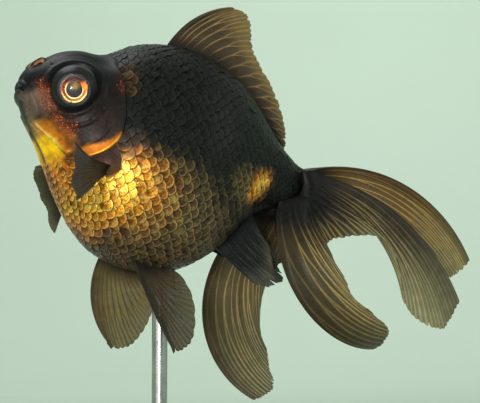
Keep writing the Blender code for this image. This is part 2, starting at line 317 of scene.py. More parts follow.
def closed_rings(rings, around):
    """Rings shut by fans at both ends, to two hubs that follow the last ring."""
    return (ring_faces(rings, around) + fan_faces(rings * around, 0, around, True)
            + fan_faces(rings * around + 1, (rings - 1) * around, around, False))


def fix_normals(mesh):
    shell = bmesh.new()
    shell.from_mesh(mesh)
    bmesh.ops.recalc_face_normals(shell, faces=shell.faces)
    shell.to_mesh(mesh)
    shell.free()
    return mesh


def sheet_normal(middle):
    return unit(np.cross(np.gradient(middle, axis=0), np.gradient(middle, axis=1)))


def build_sheet(name, middle, thick):
    """A thin closed sheet about a middle surface."""
    half = sheet_normal(middle) * thick[..., None] / 2
    points = to_frame(np.concatenate([(middle + half).reshape(-1, 3), (middle - half).reshape(-1, 3)]))
    index = np.arange(thick.size).reshape(thick.shape)
    a, b, c, d = index[:-1, :-1], index[1:, :-1], index[1:, 1:], index[:-1, 1:]
    near = np.stack([a, b, c, d], -1).reshape(-1, 4)
    far = np.stack([d, c, b, a], -1).reshape(-1, 4) + thick.size
    rim = np.concatenate([index[:, 0], index[-1, 1:], index[-2::-1, -1], index[0, -2:0:-1]])
    after = np.roll(rim, -1)
    joint = np.stack([after, rim, rim + thick.size, after + thick.size], -1)
    return fix_normals(build_mesh(name, points, np.concatenate([near, far, joint]).tolist()))


def both_faces(values):
    """Values of a sheet's middle surface, for its near face and then its far one."""
    return np.concatenate([values.reshape(values.shape[0] * values.shape[1], -1)] * 2)


# ---- colours of the fish
def paint(r, g, b):
    """A colour named by its screen values, as linear light."""
    v = np.array((r, g, b)) / 255
    return np.where(v <= 0.04045, v / 12.92, ((v + 0.055) / 1.055) ** 2.4)


NIGHT = paint(19, 21, 19)
HEAD_BLACK = paint(17, 18, 20)
UMBER = paint(64, 52, 40)
OLIVE = paint(66, 58, 42)
LIP_GREY = paint(112, 94, 82)
GOLD = paint(232, 162, 50)
BRIGHT_GOLD = paint(255, 190, 72)
PALE_GOLD = paint(255, 224, 130)
AMBER = paint(206, 120, 28)
BRONZE = paint(140, 86, 36)
CHIN = paint(160, 130, 72)
YELLOW = paint(250, 196, 20)
COPPER = paint(216, 96, 34)
# dark purple-brown, laid on as painted shade under the gill cover and at the pectoral fin's root
SHADE_PURPLE = paint(58, 38, 34)

# Soft patches seen from the side, laid over each other: colour, strength, middle x and z,
# half length, half height, tilt in degrees, softness of the edge, and how much of it shines
FLANK_PATCHES = (
    (UMBER, 0.85, 50, -30, 34, 16, -4, 0.6, 0.1),
    (OLIVE, 0.7, 51, -22, 19, 12, -2, 0.6, 0.25),
    # painted shade in purple-brown at the pectoral fin's root
    (SHADE_PURPLE, 0.75, 30, -14, 9, 8, 10, 0.5, 0.1),
    (BRONZE, 0.7, 42.5, -21.5, 11.5, 10.5, -8, 0.7, 0.7),
    (AMBER, 0.9, 38, -21.5, 9, 9, -12, 0.6, 0.9),
    (GOLD, 0.95, 35.5, -21.5, 8, 7.5, -20, 0.5, 1),
    (AMBER, 0.8, 31, -30.5, 7, 6, -40, 0.6, 0.9),
    (GOLD, 0.92, 29.6, -27.6, 6.2, 6.2, -20, 0.6, 1),
    (BRONZE, 0.6, 46, -12.8, 4.6, 2.4, -6, 0.6, 0.8),
    (BRONZE, 0.13, 30.4, 13, 1.6, 4.6, 12, 0.7, 0.8),
    (OLIVE, 0.7, 77, -6.5, 6, 6.5, -10, 0.5, 0.3),
    (BRONZE, 0.85, 82, -4.4, 5.2, 3.4, 60, 0.6, 0.8),
    (AMBER, 0.9, 82.8, -3.4, 4.8, 2.6, 60, 0.6, 0.65),
    (BRIGHT_GOLD, 0.95, 83.2, -3.2, 3.8, 1.8, 60, 0.7, 0.8),
)
HEAD_PATCHES = (
    (LIP_GREY, 0.75, 3, -5.5, 4.6, 8.5, -50, 0.5, 0),
    (CHIN, 0.9, 9.5, -12, 5, 2.6, -50, 0.5, 0.2),
    (UMBER, 0.4, 12, -9, 6, 3.6, -42, 0.5, 0.1),
    (BRONZE, 0.9, 15, -11, 6, 2.4, -33, 0.5, 0.5),
    (AMBER, 0.9, 14.2, -12.6, 6, 2.1, -36, 0.4, 0.5),
    (YELLOW, 0.95, 14.6, -16.2, 5.4, 2.7, -42, 0.3, 0.45),
    (AMBER, 0.75, 20.5, -22, 6, 4.5, -38, 0.5, 0.7),
)


def wobble(x, z):
    """Irregular waves that keep patch edges from being smooth ovals."""
    return 0.10 * (np.sin(0.9 * x + 0.6 * z) + np.sin(1.3 * z - 0.45 * x + 1.7)
                   + 0.7 * np.sin(2.3 * x - 1.1 * z + 0.6))


def soft_patch(x, z, patch):
    _, strength, at_x, at_z, long, high, tilt, soft, _ = patch
    c, s = math.cos(math.radians(tilt)), math.sin(math.radians(tilt))
    u, v = (x - at_x) * c + (z - at_z) * s, (z - at_z) * c - (x - at_x) * s
    reach = np.hypot(u / long, v / high) + wobble(x, z)
    return strength * fade(1 - soft, 1 + soft, reach)


def lay(look, colour, amount, shine=0):
    """Lay a colour with its metallic shine over a look, by an amount for each point."""
    amount = np.clip(amount, 0, 1)
    return blend(look[0], colour, amount), look[1] + (shine - look[1]) * amount


def markings(points):
    """Look of the fish, its colour and metallic shine, at points of its surface."""
    x, side, z = np.moveaxis(folded(points), -1, 0)
    look = np.broadcast_to(NIGHT, points.shape), np.zeros(x.shape)
    low = 1 - ease(-40, -8, z + 0.25 * (x - 50))
    look = lay(look, UMBER, 0.75 * low * ease(24, 40, x), 0.1)
    look = lay(look, HEAD_BLACK, 0.9 * fade(20, 34, x))
    off_keel, head = ease(-3, 4, side), ease(0.8, 5.5, side + 0.12 * x) * fade(24, 30, x)
    for patches, where in ((FLANK_PATCHES, off_keel), (HEAD_PATCHES, head)):
        for patch in patches:
            look = lay(look, patch[0], soft_patch(x, z, patch) * where, patch[-1])
    return look


# ---- relief of the skin
MOUTH_LINE = 0.9              # level of the mouth at the middle
LIPS = ((0.40, 1.3, 0.9), (0.70, -1.9, 1.25), (-0.30, 2.9, 0.55), (-0.28, -3.9, 0.6))  # rise, level, width
UPPER_JAW_FOLD = ((0.6, 0.8, 4.4), (1.2, 4.6, 2.6), (3, 7, 0.4), (6.1, 8.4, -3.8), (8, 8.2, -7))
JAW_RIDGE = ((5.5, 3.6, -6.6), (8.8, 5.9, -9.4), (13.5, 9.8, -12.6), (19.2, 13.5, -15.2))
JAW_RIDGE_LOW = ((6.5, 2.6, -8.6), (11, 5.4, -12.6), (16, 8.4, -17), (21, 11.5, -20.4))
JAW_RIDGE_LOWEST = ((9, 1.6, -11.2), (14, 3.6, -16.2), (19, 5.6, -21.2), (23, 8, -25))
UNDER_RIDGE = (0, 0, 1.3)     # from the groove under a jaw ridge up to the ridge
CHEEK_EDGE = ((23.5, 13.5, 12), (24.5, 17.5, 6), (24, 18.6, 0), (21.5, 17.6, -5.4),
              (17, 14.6, -8.4), (12, 11.2, -8.2))
FIN_ROOTS = (                 # middle of each fleshy fin base, its reach and rise
    ((30.8, 19.3, -16.4), 3.2, 1),
    ((53, 7.5, -38.5), 4, 0.4),
    ((81, 3.6, -20), 4, 0.4),
)
PORES = 11
PORE_RING = 10.9              # radius of the ring of pores round the eye


def distance_to_route(points, route):
    """Distance from points to a route of straight lengths."""
    route = np.array(route, float)
    nearest = np.full(points.shape[:-1], 1e9)
    for start, end in zip(route, route[1:]):
        run = end - start
        t = np.clip(((points - start) @ run) / (run @ run), 0, 1)
        nearest = np.minimum(nearest, length_of(points - start - t[..., None] * run))
    return nearest


def mouth_relief(side, z):
    level = z - MOUTH_LINE + 1.3 * (side / 5) ** 2
    lips = sum(rise * bell(level - at, width) for rise, at, width in LIPS)
    return lips * fade(4.4, 6.4, side) - 1.5 * bell(level, 0.42) * fade(3.6, 5.2, side)


def eye_relief(place):
    """The groove and rim of skin where the eyeball stands out of the head, and pores round it."""
    centre, looks, back, up = eye_axes(1)
    reach, off_axis = length_of(place - centre), length_of(np.cross(place - centre, looks))
    height = 0.50 * bell(reach - 9.3, 0.85) - 0.7 * bell(reach - 8.05, 0.55)
    height -= 1.2 * fade(7, 8, reach)
    height -= 0.20 * bell(off_axis - 11.2, 0.5) * ease(-1, 4, place[..., 0] - 10)
    for turn in np.radians(150 + 24 * np.arange(PORES)):
        pore = centre + PORE_RING * (math.cos(turn) * back + math.sin(turn) * up)
        height -= 0.26 * bell(length_of(np.cross(place - pore, looks)), 0.33)
    return height


def gill_relief(ahead, down):
    """The gill cover's thick free edge; ahead is mm in front of the gill opening."""
    free = ease(0.55, 0.95, down) * fade(2.2, 2.65, down)
    cover = 0.95 * np.exp(-np.maximum(ahead, 0) / 9) * ease(-0.02, 0.30, ahead)
    slit = -0.45 * bell(ahead + 0.35, 0.5)
    seam = -0.16 * bell(ahead - 4.6, 0.5) * ease(1.2, 1.6, down)
    return (cover + slit + seam) * free


def skin_relief(points, station, down):
    """Height of the skin over the plain body, in mm."""
    place = folded(points)
    x, side, z = np.moveaxis(place, -1, 0)
    ahead = (gill_station(down) - station) * STATION_LENGTH
    height = mouth_relief(side, z) * fade(3, 7, x) + eye_relief(place)
    height += gill_relief(ahead, down)
    fold = distance_to_route(place, UPPER_JAW_FOLD)
    height += (0.22 * bell(fold, 2.2) - 0.42 * bell(fold, 0.45)) * fade(7, 10, x)
    for route, rise in ((JAW_RIDGE, 0.55), (JAW_RIDGE_LOW, 0.45), (JAW_RIDGE_LOWEST, 0.4)):
        height += rise * bell(distance_to_route(place, route), 0.75)
        height -= 0.5 * rise * bell(distance_to_route(place + UNDER_RIDGE, route), 0.6)
    height -= 0.24 * bell(distance_to_route(place, CHEEK_EDGE), 0.5)
    height -= 0.5 * bell(side, 1.3) * ease(9, 14, x) * fade(24, 30, x) * (z < 0)
    for behind in (-1.3, 1.4):
        pit = place - NOSTRIL_AT - (behind, 0.1, 0.6 * behind)
        height -= 0.8 * bell(length_of(pit), 0.85)
    for at, reach, rise in FIN_ROOTS:
        height += rise * bell(length_of(place - at), reach)
    height += 0.5 * bell(side, 2) * (z > 5) * ease(38, 44, x) * fade(86, 94, x)
    return height - SCALE_BED * ease(0, 1.5, -ahead)


# ---- nodes
class Nodes:
    """A node tree, built by name."""

    def __init__(self, tree):
        self.tree = tree

    def put(self, value, socket):
        if isinstance(value, bpy.types.NodeSocket):
            self.tree.links.new(value, socket)
        elif value is not None:
            socket.default_value = (*value, 1) if socket.type == "RGBA" else value

    def feed(self, node, **inputs):
        for key, value in inputs.items():
            self.put(value, node.inputs[key.replace("_", " ")])
        return node

    def node(self, kind, *values, **named):
        """A new node: values go to its first inputs, capitalised names to others, the rest are settings."""
        node = self.tree.nodes.new(kind)
        inputs = {key: named.pop(key) for key in list(named) if not key.islower()}
        for key, value in named.items():
            setattr(node, key, value)
        for value, socket in zip(values, node.inputs):
            self.put(value, socket)
        return self.feed(node, **inputs)

    def out(self, kind, *values, **named):
        return self.node(kind, *values, **named).outputs[0]

    def maths(self, operation, *values, **named):
        return self.out("ShaderNodeMath", *values, operation=operation, **named)

    def vector(self, operation, *values, **named):
        return self.out("ShaderNodeVectorMath", *values, operation=operation, **named)

    def split(self, vector):
        return self.node("ShaderNodeSeparateXYZ", vector).outputs


class Finish(Nodes):
    """A material, built by name."""

    def __init__(self, name):
        self.material = bpy.data.materials.new(name)
        self.material.use_nodes = True
        super().__init__(self.material.node_tree)
        self.shader = self.tree.nodes["Principled BSDF"]

    def done(self, **inputs):
        """Set the shader's inputs and hand back the material."""
        self.feed(self.shader, **inputs)
        return self.material

    def attribute(self, name, output="Fac"):
        return self.node("ShaderNodeAttribute", attribute_name=name).outputs[output]

    def times(self, value, *others):
        for other in others:
            value = self.maths("MULTIPLY", value, other)
        return value

    def plus(self, a, b):
        return self.maths("ADD", a, b)

    def wave(self, value, count):
        return self.maths("SINE", self.times(value, count))

    def dye(self, colour, tone):
        return self.vector("MULTIPLY", colour, tone)

    def length(self, vector):
        return self.node("ShaderNodeVectorMath", vector, operation="LENGTH").outputs["Value"]

    def span(self, value, low, high, start=0, end=1):
        """Map a range onto another, smoothly and held at its ends."""
        return self.out("ShaderNodeMapRange", value, low, high, start, end,
                        interpolation_type="SMOOTHSTEP")

    def fall(self, value, low, high):
        return self.span(value, low, high, 1, 0)

    def vary(self, noise, least, most):
        return self.span(noise, 0.3, 0.7, least, most)

    def coats(self, colour, *coats):
        """Mix colours over a first one, each by its own factor."""
        for factor, over in coats:
            node = self.node("ShaderNodeMix", factor, data_type="RGBA")
            self.put(colour, node.inputs[6])
            self.put(over, node.inputs[7])
            colour = node.outputs[2]
        return colour

    def place(self, *scale):
        """Object coordinates in metres, or drawn together along each axis by a scale."""
        where = self.node("ShaderNodeTexCoord").outputs["Object"]
        return self.vector("MULTIPLY", where, scale) if scale else where

    def noise(self, where, size, detail=3, rough=0.5, output="Fac"):
        """Noise with features about size mm across."""
        return self.node("ShaderNodeTexNoise", Vector=where, Scale=1 / (size * MM), Detail=detail,
                         Roughness=rough).outputs[output]

    def bump(self, height, depth, strength=1, over=None):
        """Bump of the given depth in mm."""
        return self.out("ShaderNodeBump", Height=height, Distance=depth * MM, Strength=strength,
                        Normal=over)


def skin_finish():
    """Smooth wet skin: soft mottling, fine pits, copper specks and metal where it shines."""
    f = Finish("wet_skin")
    where, shine, specks = f.place(), f.attribute("shine"), f.attribute("specks")
    cloud, fine = f.noise(where, 5, 4, 0.6), f.noise(where, 0.9, 3, 0.6)
    pigment = f.dye(f.attribute("pigment", "Color"), f.times(f.vary(cloud, 0.72, 1.25),
                                                             f.vary(fine, 0.85, 1.15)))
    cells = f.node("ShaderNodeTexVoronoi", Vector=where, Scale=1 / (0.46 * MM)).outputs["Distance"]
    patchy = f.span(f.noise(where, 1.6, 3, 0.7), f.span(specks, 0, 0.8, 0.60, 0.25), 0.68)
    speck = f.times(f.fall(cells, 0.26, 0.42), patchy, f.span(specks, 0, 0.3))
    return f.done(Base_Color=f.coats(pigment, (f.times(specks, 0.35), paint(120, 52, 30)),
                                     (speck, paint(250, 120, 50))),
                  Metallic=f.times(shine, 0.7), Roughness=f.vary(fine, 0.30, 0.46),
                  Normal=f.bump(f.noise(where, 0.35, 2), 0.04, 0.6, f.bump(fine, 0.10, 0.5)),
                  Specular_IOR_Level=0.12)


def scale_finish():
    """Scale plates: root darkened as painted shade, bright crescent as a painted highlight, painted glints,
    thin dark rim, fine rays, gold where it shines.
    """
    f = Finish("fish_scale")
    where, shine, plate = f.place(), f.attribute("shine"), f.attribute("plate", "Vector")
    pigment = f.attribute("pigment", "Color")
    across, along, reach = f.split(plate)
    rays = f.wave(f.maths("ARCTAN2", across, f.plus(along, 0.35)), 34)
    mottle, broad = f.noise(where, 0.8, 4, 0.65), f.noise(where, 2.4, 3, 0.6)
    rough_tone = f.span(mottle, 0.32, 0.68, f.span(shine, 0.2, 0.8, 0.7, 0.5), 1.4)
    # tone: darker towards the root, painted shade where the plate goes under the one before it; mottle and
    # fine rays
    tone = f.times(f.span(along, -0.15, 0.75, 0.40, 1.22), rough_tone, f.plus(f.times(rays, 0.05), 1))
    glint = f.times(f.span(broad, 0.5, 0.66), shine, 0.45)
    # painted highlight: a bright crescent just inside each plate's free edge
    crescent = f.times(f.span(reach, 0.72, 0.86), f.span(along, 0, 0.5), 0.55)
    crescent_highlight = f.coats(f.dye(pigment, (2.3, 2.3, 2)), (f.times(shine, 0.8), PALE_GOLD))
    to_pore = f.length(f.dye(f.vector("SUBTRACT", plate, (0, 0.25, 0)), (1, 0.5, 0)))
    pore = f.times(f.fall(to_pore, 0.08, 0.17), f.attribute("pored"))
    rim = f.times(f.span(reach, 0.91, 0.97), 0.8)
    colour = f.coats(f.dye(pigment, tone), (glint, PALE_GOLD), (crescent, crescent_highlight),
                     (f.times(pore, 0.7), f.dye(pigment, (0.4, 0.4, 0.4))),
                     (rim, f.dye(pigment, (0.42, 0.26, 0.16))))
    relief = f.bump(f.wave(reach, 42), 0.012, 0.4, f.bump(rays, 0.02, 0.5))
    relief = f.bump(pore, -0.15, 0.8, f.bump(mottle, 0.08, 0.6, relief))
    return f.done(Base_Color=colour, Metallic=f.times(shine, 0.85), Normal=relief,
                  Roughness=f.vary(mottle, 0.22, 0.42), Specular_IOR_Level=0.12)


def fin_finish(name):
    """Fin web and rays: ray joints, cloudy pigment and a film that lets the light by."""
    f = Finish(name)
    where = f.place()
    _, out, crest = f.split(f.attribute("fan", "Vector"))
    cloud, fine = f.noise(where, 3.5, 4, 0.6), f.noise(where, 0.5, 3, 0.6)
    tone = f.times(f.vary(cloud, 0.88, 1.12), f.vary(fine, 0.93, 1.07))
    joints = f.times(f.span(f.wave(out, 2 * math.pi / JOINT_STEP), 0.75, 0.98), crest)
    colour = f.coats(f.dye(f.attribute("pigment", "Color"), tone),
                     (f.times(joints, 0.14), paint(40, 34, 28)))
    film = f.maths("MULTIPLY", f.attribute("film"), f.vary(cloud, 0.94, 1.06), use_clamp=True)
    return f.done(Base_Color=colour, Alpha=film, Roughness=f.vary(fine, 0.32, 0.5),
                  Normal=f.bump(fine, 0.05, 0.5, f.bump(joints, 0.05, 0.5)), Specular_IOR_Level=0.13)


def eye_finish():
    """Iris and pupil on the eye's own dial, in mm back and up from its axis, with painted shade over the
    top of the iris and a painted reflection in the pupil.
    """
    f = Finish("eye_iris")
    where, dial = f.place(), f.attribute("dial", "Vector")
    back, high, _ = f.split(dial)
    specks, blotch = f.noise(where, 0.35, 4, 0.7), f.noise(where, 1.3, 3, 0.6)
    flecks, black = f.noise(where, 0.5, 4, 0.75), paint(24, 25, 27)
    plain = f.length(dial)
    reach = f.plus(plain, f.times(f.plus(blotch, -0.5), 0.35))
    flame, glow = (f.length(f.vector("SUBTRACT", dial, at)) for at in ((2.9, 0.9, 0), (0.3, 1.1, 0)))
    bottom = f.times(f.fall(high, -2.8, -1.2), f.span(reach, 2.7, 3), 0.6)
    low_front = f.fall(f.plus(high, f.times(back, 0.4)), -0.4, 2.2)
    inner = f.times(f.span(plain, 2.54, 2.62), f.fall(reach, 2.76, 2.96), low_front)
    broken = f.span(f.noise(where, 0.9, 1), 0.38, 0.44)
    # the outer ring fades out towards the top, into the painted shade there
    outer = f.times(f.span(reach, 3.62, 3.76), f.fall(reach, 3.92, 4.10),
                    f.span(high, -1.8, 0, 1, 0.1), broken)
    # pupil: dark, with a painted golden reflection of light on its upper part (glow)
    lens = f.coats(paint(46, 44, 48), (f.span(glow, 0.2, 1.9, 0.75, 0), paint(150, 122, 52)))
    colour = f.coats(paint(74, 24, 14), (f.span(specks, 0.45, 0.6), paint(150, 48, 16)),
                     (f.times(f.span(flecks, 0.56, 0.66), 0.7), paint(240, 120, 40)),
                     (f.span(flame, 0.5, 1.7, 0.95, 0), paint(255, 112, 8)),
                     (bottom, paint(120, 84, 30)), (inner, paint(255, 222, 160)),
                     # the top of the iris goes black: painted shade under the rim of the orbit
                     (outer, paint(255, 206, 120)), (f.span(high, 1.5, 3, 0, 0.85), black),
                     (f.span(plain, 4.08, 4.32), black), (f.fall(plain, 2.46, 2.56), lens))
    light = f.times(f.span(plain, 2.5, 2.6), f.fall(plain, 4, 4.3))
    return f.done(Base_Color=colour, Metallic=f.times(light, 0.35), Roughness=0.28,
                  Normal=f.bump(f.times(specks, light), 0.12, 0.7), Specular_IOR_Level=0.2)


def cornea_finish():
    """Clear window of the eye; shadow rays pass straight through it."""
    f = Finish("eye_window")
    shadow = f.node("ShaderNodeLightPath").outputs["Is Shadow Ray"]
    either = f.out("ShaderNodeMixShader", shadow, f.shader.outputs[0], f.out("ShaderNodeBsdfTransparent"))
    f.put(either, f.tree.nodes["Material Output"].inputs["Surface"])
    return f.done(Base_Color=(1, 1, 1), Roughness=0, Transmission_Weight=1, IOR=1.2)


def wood_finish():
    """Oiled walnut: long grain, darker growth lines, fine open pores."""
    f = Finish("oiled_walnut")
    where = f.place(1, 6, 3)
    bend = f.dye(f.noise(where, 60, output="Color"), (0.02, 0.05, 0.02))
    grain = f.node("ShaderNodeTexWave", wave_type="BANDS", bands_direction="Y",
                   Vector=f.vector("ADD", where, bend), Scale=14, Distortion=3.5, Detail=3)
    streak = f.noise(f.place(1, 14, 10), 9, 5, 0.65)
    pore = f.span(f.noise(f.place(1, 18, 18), 4, 2), 0.62, 0.74)
    colour = f.coats(paint(104, 70, 46), (grain.outputs["Fac"], paint(66, 42, 28)),
                     (f.span(streak, 0.35, 0.7, 0, 0.6), paint(48, 30, 20)),
                     (f.times(pore, 0.6), paint(30, 18, 12)))
    return f.done(Base_Color=colour, Roughness=f.vary(streak, 0.34, 0.5),
                  Normal=f.bump(pore, -0.08, 0.6), Coat_Weight=0.2, Coat_Roughness=0.25)


def steel_finish():
    """Brushed steel with fine rings round the rod."""
    f = Finish("brushed_steel")
    rings, scuff = f.noise(f.place(1, 1, 30), 3, 3, 0.6), f.noise(f.place(), 6, 4, 0.6)
    colour = f.coats(paint(188, 188, 186), (f.span(scuff, 0.35, 0.7), paint(160, 160, 158)))
    return f.done(Base_Color=colour, Metallic=1, Roughness=f.vary(rings, 0.24, 0.4),
                  Normal=f.bump(rings, 0.02, 0.4))


def floor_finish():
    f = Finish("pale_floor")
    drift = f.vary(f.noise(f.place(), 400, 2), 0.985, 1.015)
    return f.done(Base_Color=f.dye(FLOOR_COLOUR, drift), Roughness=0.7)


# ---- the skin
AROUND = 320
SCALE_BED = 0.35              # depth of the skin under the scales
GILL_EDGE = (-0.012, -0.009, -0.0065, -0.0045, -0.003, -0.0015, 0)   # rings in front of the opening
GILL_SLIT = (0.001, 0.003, 0.006, 0.010, 0.016, 0.024)                 # and behind it, as shares
STEM_CAP = ((0.9, 0.8), (0.65, 1.5), (0.3, 1.9))   # size of each ring that shuts the stem, mm behind
STEM_END = (2, 0, 0)
ARMPIT_AT = (29.8, 19.5, -14.8)
COPPER_SPECKS = (             # cheek, nape edge and throat: middle, reach, amount
    ((7.4, 10.1, 0.6), 2.6, 1), ((9.2, 10.8, -2.8), 2.4, 1), ((12.4, 12.2, -5.8), 2, 0.8),
    ((17, 14.2, -8.4), 3, 1), ((29.8, 15.4, 14), 3, 1), ((30.4, 17.8, 9), 3, 1),
    ((21, 7.5, -23), 5, 0.8), ((4.6, 9, 3), 2, 0.4))


def skin_stations(down):
    """Rings that follow the gill opening, closest together at its edge."""
    head = np.concatenate([np.linspace(0.006, 0.985, 140), 1 + np.array(GILL_EDGE)])
    behind = np.concatenate([GILL_SLIT, np.linspace(0.034, 1, 82)])
    gill = gill_station(down)
    return np.concatenate([gill * head[:, None], gill + (LAST - gill) * behind[:, None]])


def make_skin(material):
    station = skin_stations(down_of(circle(AROUND)))
    angle = circle(AROUND) + 0 * station
    down = down_of(angle)
    height = skin_relief(body_surface(station, angle), station, down) - stem_taper(station, angle)
    points = off_body(station, angle, height)
    end, middle = points[-1], points[-1].mean(0)
    cap = [middle + (end - middle) * size + (behind, 0, 0) for size, behind in STEM_CAP]
    points = np.concatenate([points, cap])
    ends = [body_surface(0, 0), middle + STEM_END]
    verts = np.concatenate([points.reshape(-1, 3), ends])
    mesh = build_mesh("fish_skin", to_frame(verts), closed_rings(len(points), AROUND))
    colour, shine = skin_markings(verts, station, down)
    give(mesh, pigment=colour, shine=shine, specks=copper_specks(verts))
    return add_piece("fish_skin", mesh, material)


def skin_markings(verts, station, down):
    """Markings plus painted shade in the groove under the jaw ridge and a painted highlight along its
    crest, the orange crescent of the gill cover with a painted highlight on its free edge, and painted
    shade over the crescent and in the bare armpit.
    """
    look, place = markings(verts), folded(verts)
    x = verts[:, 0]
    # painted shade: umber in the groove under the jaw ridge; painted highlight: a pale gold line along the
    # ridge's crest
    groove = bell(distance_to_route(place + UNDER_RIDGE, JAW_RIDGE), 0.5) * ease(8, 10, x)
    ridge = bell(distance_to_route(place, JAW_RIDGE), 0.42) * ease(6.5, 9, x)
    look = lay(look, UMBER, 0.8 * groove, 0.1)
    look = lay(look, PALE_GOLD, 0.75 * ridge, 0.8)
    spare = np.zeros(len(verts) - station.size)
    ahead = np.append((gill_station(down) - station) * STATION_LENGTH, spare + 99)
    low = np.append(down, spare)
    along = ease(1.50, 1.60, low) * fade(2.06, 2.24, low)
    width = 4.6 - 11 * np.abs(low - 1.84)
    crescent = along * ease(-0.1, 0.2, ahead) * fade(width - 1, width + 0.6, ahead)
    look = lay(look, AMBER * 0.56, crescent, 0.6)
    # painted highlight: a thin gold line along the gill cover's free edge
    edge = along * ease(-0.1, 0.1, ahead) * fade(0.5, 0.9, ahead)
    look = lay(look, GOLD, 0.7 * edge, 0.7)
    # painted shade in purple-brown on the gill cover over the crescent, and in the bare armpit behind the
    # gill opening
    gill_cover_shade = 0.35 * bell(low - 1.45, 0.28) * bell(ahead - 6, 6)
    look = lay(look, SHADE_PURPLE, gill_cover_shade * (ahead > 0) * (1 - crescent))
    return lay(look, SHADE_PURPLE, 0.95 * fade(1.1, 1.45, armpit_reach(verts)) * (ahead < 0.05))


def armpit_reach(points):
    """Distance from the scaleless skin between gill opening and pectoral fin; 1 is its edge."""
    at = folded(points) - ARMPIT_AT
    return np.hypot(at @ (0.80, 0, 0.60) / 5.4, at @ (-0.60, 0, 0.80) / 4.4)


def copper_specks(verts):
    """Where loose copper specks lie on the skin."""
    total = sum(amount * bell(length_of(folded(verts) - at), reach)
                for at, reach, amount in COPPER_SPECKS)
    return np.clip(total, 0, 1)


# ---- scales
LATERAL_DOWN = 1.42           # level of the lateral line, as an angle down from the back
FIRST_STATION = 3.9           # body stations of the first and last columns of scales
LAST_STATION = LAST - 0.35
STEM_STATION = 11.3           # scales behind this one belong to the tail stem
COLUMN_STEP = 0.385           # spacing of scale columns, as a share of the scale's height
SCALE_SPREAD = 1.14           # plate height over row spacing
SCALE_LENGTH = 1.34           # plate length over row spacing
SCALE_LIFT = 0.50             # height of a free edge over the skin, in mm
SCALE_THICK = 0.12
FULL_SCALE = 4.5              # row spacing on the flank, in mm
BAKE_PATCH = 0.003            # width of one scale on the bake map
SCALE_SEGMENTS = 12
SIZE_CHANCE = 0.055           # how much chance alters a scale's size, lie, place, stand and roll
LIE_CHANCE = 0.05
PLACE_CHANCE = 0.14
STAND_CHANCE = 0.16
ROLL_CHANCE = 0.24
PLATE_RINGS = (0.5, 0.86, 1, 1)   # reach of each ring; the last one is the underside's


def scale_height(x, level):
    """Row spacing of the scales: largest on the flank and belly, small at nape and tail stem."""
    size = FULL_SCALE - 1.1 * ease(12, 40, level) - 1.5 * ease(64, 92, x)
    return size - 1.1 * fade(26, 40, x) * ease(8, 30, -level) - 0.5 * fade(24, 34, x)


def column_levels(station):
    """Distance round the body from the lateral line, sampled down from the back."""
    down = np.linspace(0, np.pi, 241)
    points = body_surface(station + 0 * down, np.pi / 2 - down)
    arc = np.concatenate([[0], np.cumsum(length_of(np.diff(points, axis=0)))])
    return down, np.interp(LATERAL_DOWN, down, arc) - arc, points[:, 0].mean()


def scale_rows(x, top, bottom, shifted, middle_too):
    """Levels of the scales in one column, from the lateral line up and down to the middle."""
    rows = [] if shifted else [(0, 0)]
    for way, limit in ((1, top), (-1, -bottom)):
        row, step = 1, 0.5 if shifted else 1
        level = step * scale_height(x, 0)
        while level <= limit:
            rows.append((way * row, way * level))
            row, level = row + 1, level + scale_height(x, way * level)
        if middle_too and limit - rows[-1][1] * way > 0.4 * scale_height(x, way * limit):
            rows.append((way * row, way * limit))
    return rows


def scale_places(rng, middle_too):
    """Station, angle down, size, level and row of every scale on one side of the fish."""
    station, shifted, places = FIRST_STATION, False, []
    while station < LAST_STATION:
        down, level, x = column_levels(station)
        for row, at in scale_rows(x, level[0], level[-1], shifted, middle_too):
            angle_down = np.interp(-at, -level, down)
            height = scale_height(x, at) * (1 + SIZE_CHANCE * rng.standard_normal())
            behind = (station - gill_station(angle_down)) * STATION_LENGTH
            root = body_surface(station, np.pi / 2 - angle_down)
            if behind > -1 and armpit_reach(root) > 0.9:
                places.append((station, angle_down, height, at, row))
        ahead = length_of(body_surface(station + 0.05, 0.3) - body_surface(station, 0.3)) / 0.05
        station += COLUMN_STEP * scale_height(x, 0) / ahead
        shifted = not shifted
    return np.array(places)


def make_plate():
    """One scale: a crowned disc, blunt at its root, with a shut underside."""
    turn, count = circle(SCALE_SEGMENTS), SCALE_SEGMENTS
    x, y = 0.5 * np.cos(turn), 0.5 * np.sin(turn)
    x *= np.where(x < 0, 1, 0.92 + 0.08 * np.cos(turn) ** 2)
    points, plate = [(0, 0, 0)], [(0, 0, 0)]
    for reach in PLATE_RINGS:
        points += np.stack([x * reach, y * reach, 0 * x], 1).tolist()
        plate += np.stack([2 * y * reach, 2 * x * reach, 0 * x + reach], 1).tolist()
    faces = fan_faces(0, 1, count, False)
    faces += [(a + 1, d + 1, c + 1, b + 1) for a, b, c, d in ring_faces(len(PLATE_RINGS), count)]
    faces.append(tuple(range(len(points) - count, len(points)))[::-1])
    mesh = build_mesh("scale_plate", points, faces)
    across, along, reach = np.transpose(plate)
    rise = 0.15 + 0.45 * along + 0.22 * (1 - across ** 2) * (1 - 0.4 * reach ** 2)
    rise[-count:] -= SCALE_THICK / SCALE_LIFT
    give(mesh, plate=plate, rise=rise)
    return new_object("scale_plate", mesh)


def body_form():
    """A plain copy of the body for the scales to lie on."""
    around = 128
    station = np.linspace(3.5, LAST, 130)[:, None] + 0 * circle(around)
    angle = circle(around) + 0 * station
    points = off_body(station, angle, -SCALE_BED - stem_taper(station, angle))
    return new_object("body_form", build_mesh("body_form", to_frame(points.reshape(-1, 3)),
                                              ring_faces(len(points), around)))


